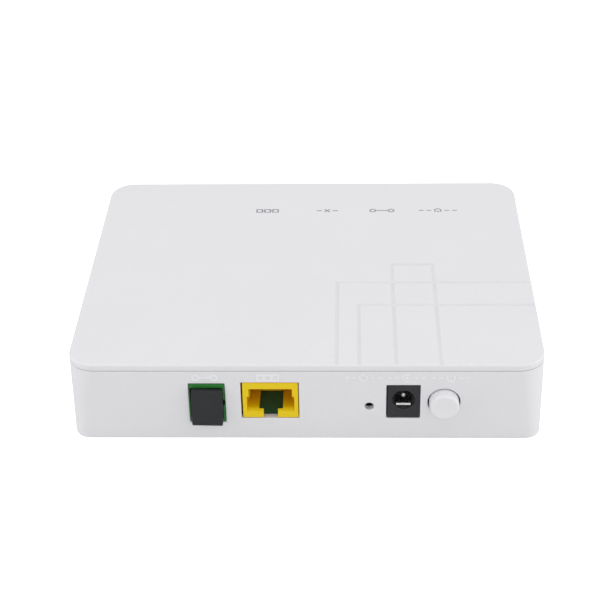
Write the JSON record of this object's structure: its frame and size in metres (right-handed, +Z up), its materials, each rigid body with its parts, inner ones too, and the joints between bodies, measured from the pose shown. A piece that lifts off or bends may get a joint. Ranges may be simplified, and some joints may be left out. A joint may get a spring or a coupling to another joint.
{
  "type": "optical network terminal",
  "caption": "Flat white desktop fibre terminal with an optical port under a dust cap, a network jack, a reset pinhole, a power jack and a push button on one wall.",
  "frame": {"origin": "below the middle of the whole object's box, in the plane the rubber feet stand on", "axes": "+X to the right seen from the ports, +Y from the port wall to the indicator wall, +Z up"},
  "size_m": [0.132, 0.107, 0.0265],
  "materials": {
    "case_white": "fine moulded texture, off-white",
    "button_white": "satin white",
    "foot_rubber": "matt dark grey",
    "label_paper": "coated, blank",
    "screw_steel": "zinc plated",
    "board_green": "dark green solder mask",
    "optic_green": "satin green",
    "cap_black": "soft matt charcoal",
    "ceramic_white": "polished",
    "module_metal": "machined",
    "gold_plate": "gold plated",
    "lan_yellow": "satin yellow",
    "part_black": "moulded black",
    "contact_steel": "plated spring metal",
    "heatsink_aluminium": "extruded",
    "thermal_grey": "soft gap filler",
    "guide_clear": "clear moulding",
    "lamp_clear": "clear resin over a chip"
  },
  "bodies": {
    "enclosure": {"board_screw_front_left": "screw_steel", "board_screw_front_right": "screw_steel", "board_screw_rear_left": "screw_steel", "board_screw_rear_right": "screw_steel", "bottom_shell": "case_white", "capacitor_1": "heatsink_aluminium", "capacitor_2": "heatsink_aluminium", "case_screw_front_left": "screw_steel", "case_screw_front_right": "screw_steel", "case_screw_rear_left": "screw_steel", "case_screw_rear_right": "screw_steel", "clock_crystal": "module_metal", "converter_chip": "part_black", "flash_chip": "part_black", "foot_front_left": "foot_rubber", "foot_front_right": "foot_rubber", "foot_rear_left": "foot_rubber", "foot_rear_right": "foot_rubber", "heatsink": "heatsink_aluminium", "lan_contact_1": "gold_plate", "lan_contact_2": "gold_plate", "lan_contact_3": "gold_plate", "lan_contact_4": "gold_plate", "lan_contact_5": "gold_plate", "lan_contact_6": "gold_plate", "lan_contact_7": "gold_plate", "lan_contact_8": "gold_plate", "lan_jack_housing": "lan_yellow", "lan_transformer": "part_black", "laser_can": "gold_plate", "led_lan": "lamp_clear", "led_optical_link": "lamp_clear", "led_power": "lamp_clear", "led_signal_loss": "lamp_clear", "light_guide": "guide_clear", "main_board": "board_green", "memory_chip": "part_black", "network_processor": "part_black", "optic_adapter": "optic_green", "optic_ferrule_sleeve": "ceramic_white", "optical_module": "module_metal", "photodiode_can": "gold_plate", "power_inductor_1": "part_black", "power_inductor_2": "part_black", "power_jack_housing": "part_black", "power_jack_pin": "contact_steel", "power_jack_spring": "contact_steel", "power_switch_body": "part_black", "rating_label": "label_paper", "reset_switch_body": "part_black", "serial_header": "part_black", "thermal_pad": "thermal_grey", "top_cover": "case_white"},
    "power_button": {"power_button_cap": "button_white", "power_switch_stem": "button_white"},
    "reset_plunger": {"reset_switch_plunger": "cap_black"},
    "dust_cap": {"optic_dust_cap": "cap_black"}
  },
  "joints": [
    {"name": "power_button_press", "type": "slide", "parent": "enclosure", "child": "power_button", "axis": [0, 1, 0], "range_m": [0, 0.0024], "stiffness_N_per_m": 600, "springref_m": -0.001},
    {"name": "reset_press", "type": "slide", "parent": "enclosure", "child": "reset_plunger", "axis": [0, 1, 0], "range_m": [0, 0.00025]},
    {"name": "dust_cap_pull", "type": "slide", "parent": "enclosure", "child": "dust_cap", "axis": [0, -1, 0], "range_m": [0, 0.018]}
  ]
}
